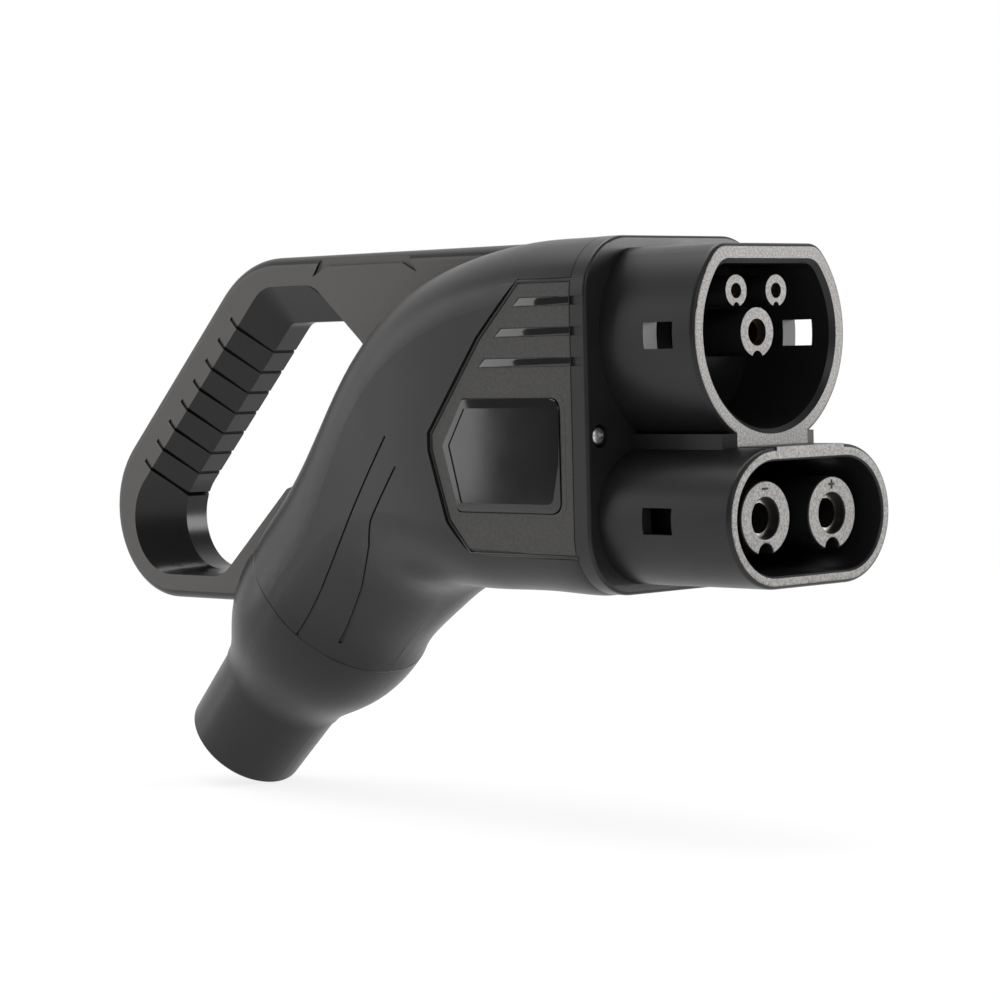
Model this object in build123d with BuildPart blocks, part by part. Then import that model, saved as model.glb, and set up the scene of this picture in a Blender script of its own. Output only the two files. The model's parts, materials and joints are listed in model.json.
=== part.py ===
# Combined AC/DC charging plug: a double-shroud nose on a pistol body with a closed D-shaped handle.
# Frame: +X is the direction of mating, +Z is up, XZ is the plane of symmetry.
# The origin is the centre of the round AC shroud on its rim plane.
from build123d import *
import os
from math import cos, radians, sin

os.makedirs("parts", exist_ok=True)

# ---- Nose: AC shroud (D-shaped) ----
AC_R_OUT = 30.8
AC_FLAT_OUT = 23.4
AC_R_IN = 25.6
AC_FLAT_IN = 18.1
AC_CORNER = 7.0
AC_MOUTH_CHAMFER = 1.3
RIM_ROUND = 1.3

# ---- Nose: DC shroud (slot-shaped) ----
DC_FACE_X = 12.9
DC_Z = -48.4
DC_HALF_RUN = 14.35
DC_R_OUT = 18.4
DC_R_IN = 15.0
DC_MOUTH_CHAMFER = 0.5

# ---- Nose: floor of both cavities, neck between the shrouds, lock windows ----
FLOOR_X = -30.0
NECK_HALF = 18.6
NECK_TOP = -26.4
NECK_BOTTOM = -30.5
NECK_FRONT_BREAK = 1.5
TAB_HALF = 14.2
TAB_TOP = -24.0
LEDGE_HALF = 13.6
LEDGE_TOP = -29.8
LEDGE_DEPTH = 4.0
WINDOW_X = -12.3
WINDOW_LEN = 10.2
AC_WINDOW_Z = -0.3
DC_WINDOW_Z = -48.65
WINDOW_H = 7.0

# ---- Socket tubes: (y, z, face x, outer r, bore r, contact bore r, key r, key drop) ----
DC_PITCH = 27.0
DC_TUBE_FACE = 8.5
DC_TUBE_R = 9.85
DC_TUBE_BORE = 5.3
DC_CONTACT_BORE = 4.0
AC_TUBE_FACE = -4.75
PE_TUBE_R = 6.55
PE_TUBE_BORE = 3.6
PE_CONTACT_BORE = 3.0
SIGNAL_PITCH = 16.1
SIGNAL_Z = 11.0
SIGNAL_TUBE_R = 4.2
SIGNAL_TUBE_BORE = 2.05
SIGNAL_CONTACT_BORE = 1.5
CONTACT_SET_BACK = 2.4

# ---- Flange collar behind the nose ----
FLANGE_FRONT = -33.2
FLANGE_REAR = -39.0
BODY_HALF = 36.0
BODY_TOP = 26.7
BODY_BOTTOM = -69.5
BODY_CORNER = 16.0
SCREW_Y = 31.0
SCREW_Z = -26.5
SCREW_HEAD_R = 2.3
SCREW_SINK_R = 3.2

# ---- Grip axis: leans down and back from the barrel ----
GRIP_TILT = 45.0
SEAM_X = -171.8
SEAM_Z = -76.4
GRIP_HALF = 28.5
GRIP_DEEP = 30.3
SEAM_BREAK = 0.35
COLLAR_LEN = 38.0
SLEEVE_END = 65.5
SLEEVE_R_TOP = 19.6
SLEEVE_R_END = 18.5
SLEEVE_SOCKET = 10.0
CABLE_R = 14.0
SEAL_R = 17.0
SEAL_LEN = 9.0

# ---- D handle: flat flanks, and an inner side that swells to a narrow crest for the fingers ----
HANDLE_HALF = 12.3
HANDLE_EDGE = 3.4
CREST_HALF = 4.1
SWELL = 11.0
HANDLE_TAIL_R = 27.5
HANDLE_SHOULDER_R = 36.0
HANDLE_OUTER = [
    (-304.2, -78.2),
    (-199.8, 26.2),
    (-66.0, 26.2),
    (-90.0, -20.0),
    (-150.0, -60.0),
    (-190.0, -78.2),
]
# Finger space on the flanks and at the crest: corners in the same order, each with its radius.
LOOP_FLANK = [
    (-190.8, 17.6),
    (-279.3, -70.9),
    (-213.0, -70.9),
    (-181.0, -42.8),
    (-175.6, -41.4),
    (-139.7, -5.5),
    (-167.5, 17.6),
]
FLANK_RADII = [12.0, 17.0, 12.0, 3.0, 3.0, 9.0, 10.0]
LOOP_CREST = [
    (-186.3, 6.6),
    (-262.1, -69.2),
    (-214.4, -69.2),
    (-181.6, -43.3),
    (-176.0, -41.8),
    (-140.6, -6.4),
    (-155.4, 6.6),
]
CREST_RADII = [5.0, 16.0, 11.0, 3.0, 3.0, 8.5, 8.0]
# Finger grooves run round the swell, square to the limb.
GROOVE_COUNT = 8
GROOVE_PITCH = 8.8
GROOVE_WIDE = 1.3
GROOVE_DEEP = 0.7
GROOVE_FIRST = (-202.2, 6.2)
# Shallow step along the top edge of each flank.
RELIEF_DEEP = 0.8
RELIEF_OUTLINE = [
    (-162.5, 27.0),
    (-167.4, 19.9),
    (-161.0, 22.8),
    (-128.5, 22.8),
    (-122.3, 19.9),
    (-127.5, 27.0),
]

# ---- Barrel and grip sections: top point, bottom point, half width, corner radius ----
BODY_SECTIONS = [
    ((FLANGE_REAR, BODY_TOP), (FLANGE_REAR, BODY_BOTTOM), BODY_HALF, BODY_CORNER),
    ((-60.0, 26.4), (-56.0, BODY_BOTTOM), BODY_HALF, BODY_CORNER + 0.5),
    ((-82.0, 24.0), (-75.0, BODY_BOTTOM), BODY_HALF, 17.5),
    ((-112.5, 15.4), (-95.0, BODY_BOTTOM), 35.8, 20.0),
    ((-140.0, -1.8), (-114.0, -70.4), 34.0, 24.0),
    ((-160.5, -22.4), (-126.0, -76.0), 31.6, 27.0),
    ((-181.9, -43.7), (-139.1, -86.5), GRIP_HALF + 0.5, GRIP_HALF - 0.3),
    ((-193.2, -55.0), (-150.4, -97.8), GRIP_HALF, GRIP_HALF - 0.3),
]
# Bowl of the rear collar: distance below the seam, half width, half depth.
COLLAR_SECTIONS = [
    (0.0, GRIP_HALF, GRIP_DEEP),
    (9.0, 28.3, 30.0),
    (18.0, 26.8, 28.0),
    (26.0, 23.9, 24.6),
    (33.0, 20.9, 21.2),
    (COLLAR_LEN, 19.9, 20.0),
]
# Style lines down each side of the grip: shallow grooves, drawn in side view.
LINE_DEEP = 0.45
LINE_WIDE = 0.7
GRIP_LINES = [
    [(-112.5, -26.5), (-133.0, -52.3), (-149.8, -71.6), (-163.0, -85.8)],
    [(-108.5, -35.0), (-121.1, -50.6), (-124.8, -57.8), (-135.9, -71.1), (-152.0, -88.0)],
]

# ---- Side field with its glossy inset and three bars ----
FIELD_DEPTH = 0.8
INSET_PROUD = 0.35
INSET_THICK = 1.6
BAR_THICK = 1.6

AXIS_DIR = Vector(-cos(radians(GRIP_TILT)), 0, -sin(radians(GRIP_TILT)))
# Square to the grooved limb: local x runs across it, local y runs out of it into the finger space.
LIMB_PLANE = Plane(origin=(GROOVE_FIRST[0], 0, GROOVE_FIRST[1]), x_dir=(0, 1, 0), z_dir=AXIS_DIR)
GRIP_PLANE = Plane(origin=(SEAM_X, 0, SEAM_Z), x_dir=(0, 1, 0), z_dir=AXIS_DIR)
# Half-plane through the grip axis: local x runs away from the axis, local y runs down the axis.
GRIP_PROFILE = Plane(origin=(SEAM_X, 0, SEAM_Z), x_dir=(-AXIS_DIR.Z, 0, AXIS_DIR.X), z_dir=(0, 1, 0))
GRIP_AXIS = Axis((SEAM_X, 0, SEAM_Z), (AXIS_DIR.X, 0, AXIS_DIR.Z))
NOSE = Plane.YZ

FIELD_OUTLINE = [
    (FLANGE_REAR + 1, 15.7),
    (-59.0, 15.8),
    (-74.7, 0.6),
    (-94.7, -25.5),
    (-94.7, -30.5),
    (-88.0, -50.0),
    (-79.5, -59.3),
    (FLANGE_REAR + 1, -59.4),
]
FIELD_CHANNEL = 1.3
FIELD_CHANNEL_DEEP = 0.6
INSET_OUTLINE = [
    (-81.2, -16.1),
    (-43.9, -16.1),
    (-43.9, -47.4),
    (-83.6, -47.4),
    (-89.5, -29.0),
]
INSET_WINDOW = ((-79.6, -18.9), (-47.0, -44.6))
INSET_WINDOW_DEEP = 0.3
INSET_CORNER = 2.0
BARS = [(-59.8, 9.6), (-67.0, 1.5), (-73.6, -6.6)]
BAR_H = 2.4


def d_sketch(x, radius, flat, corner):
    """Round outline with a flat top, drawn across the mating axis at x."""
    with BuildSketch(NOSE.offset(x)) as outline:
        Circle(radius)
        with Locations((0, flat + 40)):
            Rectangle(160, 80, mode=Mode.SUBTRACT)
        fillet(outline.vertices(), corner)
    return outline.sketch


def slot_sketch(x, radius):
    """Slot outline of the DC shroud, drawn across the mating axis at x."""
    with BuildSketch(NOSE.offset(x)) as outline:
        with Locations((0, DC_Z)):
            SlotCenterToCenter(2 * DC_HALF_RUN, 2 * radius)
    return outline.sketch


def body_sketch(x, inset):
    """Outline of the flange and of the front of the barrel, drawn at x."""
    with BuildSketch(NOSE.offset(x)) as outline:
        with Locations((0, (BODY_TOP + BODY_BOTTOM) / 2)):
            RectangleRounded(
                2 * (BODY_HALF - inset), BODY_TOP - BODY_BOTTOM - 2 * inset, BODY_CORNER - inset
            )
    return outline.sketch


def loop_sketch(depth, corners, radii):
    """Outline of the finger space, drawn on the side plane that lies depth from the middle."""
    with BuildSketch(Plane.XZ.offset(depth)) as outline:
        with BuildLine():
            Polyline(corners, close=True)
        make_face()
        for corner, radius in zip(corners, radii):
            fillet(outline.vertices().sort_by_distance((corner[0], corner[1], 0))[0], radius)
    return outline.sketch


def body_faces(shrink):
    """Sections of the barrel and grip, each drawn in by shrink all round."""
    faces = []
    for top, bottom, half, corner in BODY_SECTIONS:
        up = Vector(top[0] - bottom[0], 0, top[1] - bottom[1])
        mid = ((top[0] + bottom[0]) / 2, 0, (top[1] + bottom[1]) / 2)
        with BuildSketch(Plane(origin=mid, x_dir=(0, 1, 0), z_dir=Vector(0, 1, 0).cross(up))) as section:
            RectangleRounded(2 * (half - shrink), up.length - 2 * shrink, corner - shrink)
        faces.append(section.sketch.face())
    return faces


def collar_faces(shrink):
    """Sections of the rear collar's bowl, from the seam to the mouth that takes the sleeve."""
    faces = []
    for drop, half, deep in COLLAR_SECTIONS:
        with BuildSketch(GRIP_PLANE.offset(drop)) as section:
            RectangleRounded(2 * (half - shrink), 2 * (deep - shrink), half - shrink - 0.3)
        faces.append(section.sketch.face())
    return faces


# ---- Nose housing: both shrouds and the neck in one moulding ----
with BuildPart() as nose_housing:
    extrude(d_sketch(FLANGE_REAR, AC_R_OUT, AC_FLAT_OUT, AC_CORNER), amount=-FLANGE_REAR)
    fillet(nose_housing.faces().sort_by(Axis.X)[-1].outer_wire().edges(), RIM_ROUND)
    extrude(slot_sketch(FLANGE_REAR, DC_R_OUT), amount=DC_FACE_X - FLANGE_REAR)
    fillet(nose_housing.faces().sort_by(Axis.X)[-1].outer_wire().edges(), RIM_ROUND)
    # The neck fills the valley between the shrouds; its front corners lean back.
    with BuildSketch(Plane.XY.offset(NECK_BOTTOM)):
        with BuildLine():
            Polyline(
                (FLANGE_REAR, -NECK_HALF),
                (-NECK_FRONT_BREAK, -NECK_HALF),
                (0, -TAB_HALF),
                (0, TAB_HALF),
                (-NECK_FRONT_BREAK, NECK_HALF),
                (FLANGE_REAR, NECK_HALF),
                close=True,
            )
        make_face()
    extrude(amount=NECK_TOP - NECK_BOTTOM)
    # The tab joins it to the AC rim, and the ledge runs on over the DC shroud.
    with BuildSketch(NOSE):
        with Locations((0, (TAB_TOP + NECK_BOTTOM) / 2)):
            Rectangle(2 * TAB_HALF, TAB_TOP - NECK_BOTTOM)
    extrude(amount=-6)
    with BuildSketch(NOSE.offset(FLANGE_REAR)):
        with Locations((0, LEDGE_TOP - LEDGE_DEPTH / 2)):
            Rectangle(2 * LEDGE_HALF, LEDGE_DEPTH)
    extrude(amount=DC_FACE_X - FLANGE_REAR)
    # Cavities.
    extrude(
        d_sketch(FLOOR_X, AC_R_IN, AC_FLAT_IN, AC_CORNER - 2), amount=-FLOOR_X + 1, mode=Mode.SUBTRACT
    )
    extrude(slot_sketch(FLOOR_X, DC_R_IN), amount=DC_FACE_X - FLOOR_X + 1, mode=Mode.SUBTRACT)
    # Lock windows, one through each side of each shroud.
    with Locations(
        (WINDOW_X, -28, AC_WINDOW_Z),
        (WINDOW_X, 28, AC_WINDOW_Z),
        (WINDOW_X, -31, DC_WINDOW_Z),
        (WINDOW_X, 31, DC_WINDOW_Z),
    ):
        Box(WINDOW_LEN, 12, WINDOW_H, mode=Mode.SUBTRACT)
    # Seats that the five contacts pass through.
    for sy, sz, sr in (
        (-DC_PITCH / 2, DC_Z, DC_TUBE_BORE),
        (DC_PITCH / 2, DC_Z, DC_TUBE_BORE),
        (0, 0, PE_TUBE_BORE),
        (-SIGNAL_PITCH / 2, SIGNAL_Z, SIGNAL_TUBE_BORE),
        (SIGNAL_PITCH / 2, SIGNAL_Z, SIGNAL_TUBE_BORE),
    ):
        with Locations(Location((FLOOR_X - 3, sy, sz), (0, 90, 0))):
            Cylinder(sr, 6, mode=Mode.SUBTRACT)
    # Lead-in funnel at the mouth of each cavity.
    extrude(
        d_sketch(-AC_MOUTH_CHAMFER, AC_R_IN, AC_FLAT_IN, AC_CORNER - 2),
        amount=AC_MOUTH_CHAMFER + 0.1,
        taper=-45,
        mode=Mode.SUBTRACT,
    )
    extrude(
        slot_sketch(DC_FACE_X - DC_MOUTH_CHAMFER, DC_R_IN),
        amount=DC_MOUTH_CHAMFER + 0.1,
        taper=-45,
        mode=Mode.SUBTRACT,
    )
nose_housing.part.label = "nose_housing"
export_step(nose_housing.part, "parts/nose_housing.step")

# ---- Insulating tubes, each with a keyway along its underside ----
with BuildPart() as pe_insulator:
    with BuildSketch(NOSE.offset(FLOOR_X)):
        Circle(PE_TUBE_R)
        Circle(PE_TUBE_BORE, mode=Mode.SUBTRACT)
        with Locations((0, -PE_TUBE_R - 0.35)):
            Circle(2.05, mode=Mode.SUBTRACT)
    extrude(amount=AC_TUBE_FACE - FLOOR_X)
pe_insulator.part.label = "pe_insulator"
export_step(pe_insulator.part, "parts/pe_insulator.step")

with BuildPart() as cp_insulator:
    with BuildSketch(NOSE.offset(FLOOR_X)):
        with Locations((-SIGNAL_PITCH / 2, SIGNAL_Z)):
            Circle(SIGNAL_TUBE_R)
            Circle(SIGNAL_TUBE_BORE, mode=Mode.SUBTRACT)
        with Locations((-SIGNAL_PITCH / 2, SIGNAL_Z - SIGNAL_TUBE_R)):
            Circle(1.2, mode=Mode.SUBTRACT)
    extrude(amount=AC_TUBE_FACE - FLOOR_X)
cp_insulator.part.label = "cp_insulator"
export_step(cp_insulator.part, "parts/cp_insulator.step")

with BuildPart() as pp_insulator:
    mirror(cp_insulator.part, about=Plane.XZ)
pp_insulator.part.label = "pp_insulator"
export_step(pp_insulator.part, "parts/pp_insulator.step")

with BuildPart() as dc_plus_insulator:
    with BuildSketch(NOSE.offset(FLOOR_X)):
        with Locations((DC_PITCH / 2, DC_Z)):
            Circle(DC_TUBE_R)
            Circle(DC_TUBE_BORE, mode=Mode.SUBTRACT)
        with Locations((DC_PITCH / 2, DC_Z - DC_TUBE_R + 0.4)):
            Circle(2.75, mode=Mode.SUBTRACT)
    extrude(amount=DC_TUBE_FACE - FLOOR_X)
    fillet(dc_plus_insulator.edges().filter_by(GeomType.CIRCLE).group_by(Axis.X)[-1], 0.5)
dc_plus_insulator.part.label = "dc_plus_insulator"
export_step(dc_plus_insulator.part, "parts/dc_plus_insulator.step")

with BuildPart() as dc_minus_insulator:
    mirror(dc_plus_insulator.part, about=Plane.XZ)
dc_minus_insulator.part.label = "dc_minus_insulator"
export_step(dc_minus_insulator.part, "parts/dc_minus_insulator.step")

# ---- Contact sockets: turned sleeves set back inside the tubes ----
with BuildPart() as dc_plus_contact:
    with BuildSketch(NOSE.offset(FLOOR_X - 6)):
        with Locations((DC_PITCH / 2, DC_Z)):
            Circle(DC_TUBE_BORE)
    extrude(amount=DC_TUBE_FACE - CONTACT_SET_BACK - FLOOR_X + 6)
    with BuildSketch(NOSE.offset(FLOOR_X)):
        with Locations((DC_PITCH / 2, DC_Z)):
            Circle(DC_CONTACT_BORE)
    extrude(amount=60, mode=Mode.SUBTRACT)
dc_plus_contact.part.label = "dc_plus_contact"
export_step(dc_plus_contact.part, "parts/dc_plus_contact.step")

with BuildPart() as dc_minus_contact:
    mirror(dc_plus_contact.part, about=Plane.XZ)
dc_minus_contact.part.label = "dc_minus_contact"
export_step(dc_minus_contact.part, "parts/dc_minus_contact.step")

with BuildPart() as pe_contact:
    with BuildSketch(NOSE.offset(FLOOR_X - 6)):
        Circle(PE_TUBE_BORE)
    extrude(amount=AC_TUBE_FACE - CONTACT_SET_BACK - FLOOR_X + 6)
    with BuildSketch(NOSE.offset(FLOOR_X)):
        Circle(PE_CONTACT_BORE)
    extrude(amount=60, mode=Mode.SUBTRACT)
pe_contact.part.label = "pe_contact"
export_step(pe_contact.part, "parts/pe_contact.step")

with BuildPart() as cp_contact:
    with BuildSketch(NOSE.offset(FLOOR_X - 6)):
        with Locations((-SIGNAL_PITCH / 2, SIGNAL_Z)):
            Circle(SIGNAL_TUBE_BORE)
    extrude(amount=AC_TUBE_FACE - CONTACT_SET_BACK - FLOOR_X + 6)
    with BuildSketch(NOSE.offset(FLOOR_X)):
        with Locations((-SIGNAL_PITCH / 2, SIGNAL_Z)):
            Circle(SIGNAL_CONTACT_BORE)
    extrude(amount=60, mode=Mode.SUBTRACT)
cp_contact.part.label = "cp_contact"
export_step(cp_contact.part, "parts/cp_contact.step")

with BuildPart() as pp_contact:
    mirror(cp_contact.part, about=Plane.XZ)
pp_contact.part.label = "pp_contact"
export_step(pp_contact.part, "parts/pp_contact.step")

# ---- Flange collar: frames both shrouds and takes the two nose screws ----
with BuildPart() as front_collar:
    extrude(body_sketch(FLANGE_REAR, 0), amount=FLANGE_FRONT - FLANGE_REAR)
    fillet(front_collar.faces().sort_by(Axis.X)[-1].outer_wire().edges(), 0.9)
    chamfer(front_collar.faces().sort_by(Axis.X)[0].outer_wire().edges(), SEAM_BREAK)
    extrude(
        d_sketch(FLANGE_REAR, AC_R_OUT, AC_FLAT_OUT, AC_CORNER),
        amount=FLANGE_FRONT - FLANGE_REAR,
        mode=Mode.SUBTRACT,
    )
    extrude(slot_sketch(FLANGE_REAR, DC_R_OUT), amount=FLANGE_FRONT - FLANGE_REAR, mode=Mode.SUBTRACT)
    with BuildSketch(NOSE.offset(FLANGE_REAR)):
        with Locations((0, (NECK_TOP + NECK_BOTTOM) / 2)):
            Rectangle(2 * NECK_HALF, NECK_TOP - NECK_BOTTOM)
        with Locations((0, LEDGE_TOP - LEDGE_DEPTH / 2)):
            Rectangle(2 * LEDGE_HALF, LEDGE_DEPTH)
    extrude(amount=FLANGE_FRONT - FLANGE_REAR, mode=Mode.SUBTRACT)
    # Screw seats.
    with BuildSketch(NOSE.offset(FLANGE_FRONT)):
        with Locations((-SCREW_Y, SCREW_Z), (SCREW_Y, SCREW_Z)):
            Circle(SCREW_SINK_R)
    extrude(amount=-3.0, mode=Mode.SUBTRACT)
    # The grip bars run out across the edge of the collar as shallow steps.
    for bar_x, bar_z in BARS:
        with Locations((FLANGE_REAR, -BODY_HALF, bar_z), (FLANGE_REAR, BODY_HALF, bar_z)):
            Box(9.0, 1.6, BAR_H, mode=Mode.SUBTRACT)
front_collar.part.label = "front_collar"
export_step(front_collar.part, "parts/front_collar.step")

with BuildPart() as nose_screws:
    with BuildSketch(NOSE.offset(FLANGE_FRONT - 3.0)):
        with Locations((-SCREW_Y, SCREW_Z), (SCREW_Y, SCREW_Z)):
            Circle(SCREW_HEAD_R)
    extrude(amount=1.8)
    fillet(nose_screws.faces().group_by(Axis.X)[-1].edges(), 0.6)
    with BuildSketch(NOSE.offset(FLANGE_FRONT - 1.2)):
        with Locations((-SCREW_Y, SCREW_Z), (SCREW_Y, SCREW_Z)):
            RegularPolygon(1.15, 6)
    extrude(amount=-1.0, mode=Mode.SUBTRACT)
nose_screws.part.label = "nose_screws"
export_step(nose_screws.part, "parts/nose_screws.step")

# ---- Finger grooves: thin slabs square to the rear limb, less a core that sets their depth ----
with BuildPart() as finger_grooves:
    for k in range(GROOVE_COUNT):
        with BuildSketch(LIMB_PLANE.offset(k * GROOVE_PITCH)):
            with Locations((0, SWELL / 2)):
                Rectangle(2 * HANDLE_HALF + 2, SWELL + 8)
        extrude(amount=GROOVE_WIDE)
    # The core's outline follows the flanks, bevels and crest of the limb.
    with BuildSketch(LIMB_PLANE.offset(-5)):
        with BuildLine():
            Polyline(
                (-HANDLE_HALF + GROOVE_DEEP, -20),
                (-HANDLE_HALF + GROOVE_DEEP, -GROOVE_DEEP),
                (-CREST_HALF, SWELL - GROOVE_DEEP),
                (CREST_HALF, SWELL - GROOVE_DEEP),
                (HANDLE_HALF - GROOVE_DEEP, -GROOVE_DEEP),
                (HANDLE_HALF - GROOVE_DEEP, -20),
                close=True,
            )
        make_face()
    extrude(amount=GROOVE_COUNT * GROOVE_PITCH + 10, mode=Mode.SUBTRACT)

# ---- Handle limb: one closed loop around the finger space ----
with BuildPart() as handle_limb:
    with BuildSketch(Plane.XZ) as handle_plan:
        with BuildLine():
            Polyline(HANDLE_OUTER, close=True)
        make_face()
        fillet(handle_plan.vertices().sort_by(Axis.X)[0], HANDLE_TAIL_R)
        fillet(handle_plan.vertices().group_by(Axis.Y)[-1].sort_by(Axis.X)[0], HANDLE_SHOULDER_R)
    extrude(amount=HANDLE_HALF, both=True)
    flanks = handle_limb.faces().filter_by(Axis.Y)
    fillet(flanks.edges().filter_by_position(Axis.X, -270, -152), HANDLE_EDGE)
    # The finger space narrows from each flank to the crest in the middle.
    extrude(
        loop_sketch(0, LOOP_CREST, CREST_RADII), amount=HANDLE_HALF + 1, both=True, mode=Mode.SUBTRACT
    )
    for side in (-1, 1):
        loft(
            [
                loop_sketch(-side * (HANDLE_HALF + 0.01), LOOP_FLANK, FLANK_RADII).face(),
                loop_sketch(-side * CREST_HALF, LOOP_CREST, CREST_RADII).face(),
            ],
            ruled=True,
            mode=Mode.SUBTRACT,
        )
    add(finger_grooves.part, mode=Mode.SUBTRACT)
    for side in (-1, 1):
        with BuildSketch(Plane.XZ.offset(-side * (HANDLE_HALF - RELIEF_DEEP))):
            with BuildLine():
                Polyline(RELIEF_OUTLINE, close=True)
            make_face()
        extrude(amount=-side * 5, mode=Mode.SUBTRACT)

# ---- Style lines: strips through the grip and collar, less a core that sets their depth ----
with BuildPart() as style_lines:
    with BuildSketch(Plane.XZ):
        for points in GRIP_LINES:
            with BuildLine() as path:
                Polyline(points)
            trace(line_width=LINE_WIDE)
    extrude(amount=BODY_HALF + 2, both=True)
with BuildPart() as grip_core:
    loft(body_faces(LINE_DEEP))

# ---- Main shell: barrel lofted down into the grip, joined to the handle ----
with BuildPart() as main_shell:
    loft(body_faces(0))
    add(style_lines.part - grip_core.part, mode=Mode.SUBTRACT)
    add(handle_limb.part)
    # The collar's bowl is taken out of the handle foot, so the two meet along one parting line.
    loft(collar_faces(0), mode=Mode.SUBTRACT)
    # Textured field on each flank, let in below the surface.
    for side in (-1, 1):
        with BuildSketch(Plane.XZ.offset(-side * (BODY_HALF - FIELD_DEPTH))):
            with BuildLine():
                Polyline(FIELD_OUTLINE, close=True)
            make_face()
        extrude(amount=-side * 5, mode=Mode.SUBTRACT)
        # Channel along the edge of the field.
        with BuildSketch(Plane.XZ.offset(-side * (BODY_HALF - FIELD_DEPTH - FIELD_CHANNEL_DEEP))):
            with BuildLine():
                Polyline(FIELD_OUTLINE, close=True)
            make_face()
            offset(amount=-FIELD_CHANNEL, kind=Kind.INTERSECTION, mode=Mode.SUBTRACT)
        extrude(amount=-side * 5, mode=Mode.SUBTRACT)
        # Pocket for the glossy inset and the three bars.
        with BuildSketch(Plane.XZ.offset(-side * (BODY_HALF - FIELD_DEPTH + INSET_PROUD - INSET_THICK))):
            with BuildLine():
                Polyline(INSET_OUTLINE, close=True)
            make_face()
            for bar_x, bar_z in BARS:
                with Locations(((bar_x + FLANGE_REAR + 1) / 2, bar_z)):
                    Rectangle(FLANGE_REAR + 1 - bar_x, BAR_H)
        extrude(amount=-side * 5, mode=Mode.SUBTRACT)
main_shell.part.label = "main_shell"
export_step(main_shell.part, "parts/main_shell.step")

# ---- Side trim: glossy six-sided insets and the bars above them ----
with BuildPart() as inset_right:
    with BuildSketch(Plane.XZ.offset(BODY_HALF - FIELD_DEPTH + INSET_PROUD - INSET_THICK)):
        with BuildLine():
            Polyline(INSET_OUTLINE, close=True)
        make_face()
    extrude(amount=INSET_THICK)
    (win_left, win_top), (win_right, win_bottom) = INSET_WINDOW
    with BuildSketch(Plane.XZ.offset(BODY_HALF - FIELD_DEPTH + INSET_PROUD)):
        with Locations(((win_left + win_right) / 2, (win_top + win_bottom) / 2)):
            RectangleRounded(win_right - win_left, win_top - win_bottom, INSET_CORNER)
    extrude(amount=-INSET_WINDOW_DEEP, mode=Mode.SUBTRACT)
inset_right.part.label = "inset_right"
export_step(inset_right.part, "parts/inset_right.step")

with BuildPart() as inset_left:
    mirror(inset_right.part, about=Plane.XZ)
inset_left.part.label = "inset_left"
export_step(inset_left.part, "parts/inset_left.step")

with BuildPart() as bars_right:
    with BuildSketch(Plane.XZ.offset(BODY_HALF - FIELD_DEPTH + INSET_PROUD - INSET_THICK)):
        for bar_x, bar_z in BARS:
            with Locations(((bar_x + FLANGE_REAR) / 2, bar_z)):
                Rectangle(FLANGE_REAR - bar_x, BAR_H)
    extrude(amount=BAR_THICK - 0.15)
bars_right.part.label = "bars_right"
export_step(bars_right.part, "parts/bars_right.step")

with BuildPart() as bars_left:
    mirror(bars_right.part, about=Plane.XZ)
bars_left.part.label = "bars_left"
export_step(bars_left.part, "parts/bars_left.step")

# ---- Rear collar, cable sleeve and cable seal, all turned about the grip axis ----
with BuildPart() as rear_collar:
    loft(collar_faces(0))
    chamfer(rear_collar.faces().sort_by(GRIP_AXIS)[0].outer_wire().edges(), SEAM_BREAK)
    with BuildSketch(GRIP_PLANE.offset(COLLAR_LEN - SLEEVE_SOCKET)):
        Circle(SLEEVE_R_TOP)
    extrude(amount=SLEEVE_SOCKET + 1, mode=Mode.SUBTRACT)
rear_collar.part.label = "rear_collar"
export_step(rear_collar.part, "parts/rear_collar.step")

with BuildPart() as cable_sleeve:
    with BuildSketch(GRIP_PROFILE):
        with BuildLine():
            Polyline(
                (SEAL_R, COLLAR_LEN - SLEEVE_SOCKET),
                (SLEEVE_R_TOP, COLLAR_LEN - SLEEVE_SOCKET),
                (SLEEVE_R_TOP, COLLAR_LEN),
                (SLEEVE_R_END, SLEEVE_END - 1),
                (SLEEVE_R_END - 1, SLEEVE_END),
                (CABLE_R, SLEEVE_END),
                (CABLE_R, COLLAR_LEN - SLEEVE_SOCKET + SEAL_LEN),
                (SEAL_R, COLLAR_LEN - SLEEVE_SOCKET + SEAL_LEN),
                close=True,
            )
        make_face()
    revolve(axis=GRIP_AXIS)
cable_sleeve.part.label = "cable_sleeve"
export_step(cable_sleeve.part, "parts/cable_sleeve.step")

# The seal lies in the head of the sleeve, flush with its bore.
with BuildPart() as cable_seal:
    with BuildSketch(GRIP_PLANE.offset(COLLAR_LEN - SLEEVE_SOCKET)):
        Circle(SEAL_R)
        Circle(CABLE_R + 0.1, mode=Mode.SUBTRACT)
    extrude(amount=SEAL_LEN)
cable_seal.part.label = "cable_seal"
export_step(cable_seal.part, "parts/cable_seal.step")
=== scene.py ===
"""Dresses the combined AC/DC charging plug: finishes, trim, small fittings, studio and camera."""

from __future__ import annotations

import json
import logging
import math
from dataclasses import dataclass
from enum import Enum
from typing import Any

import bmesh
import bpy
from mathutils import Matrix, Vector

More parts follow.
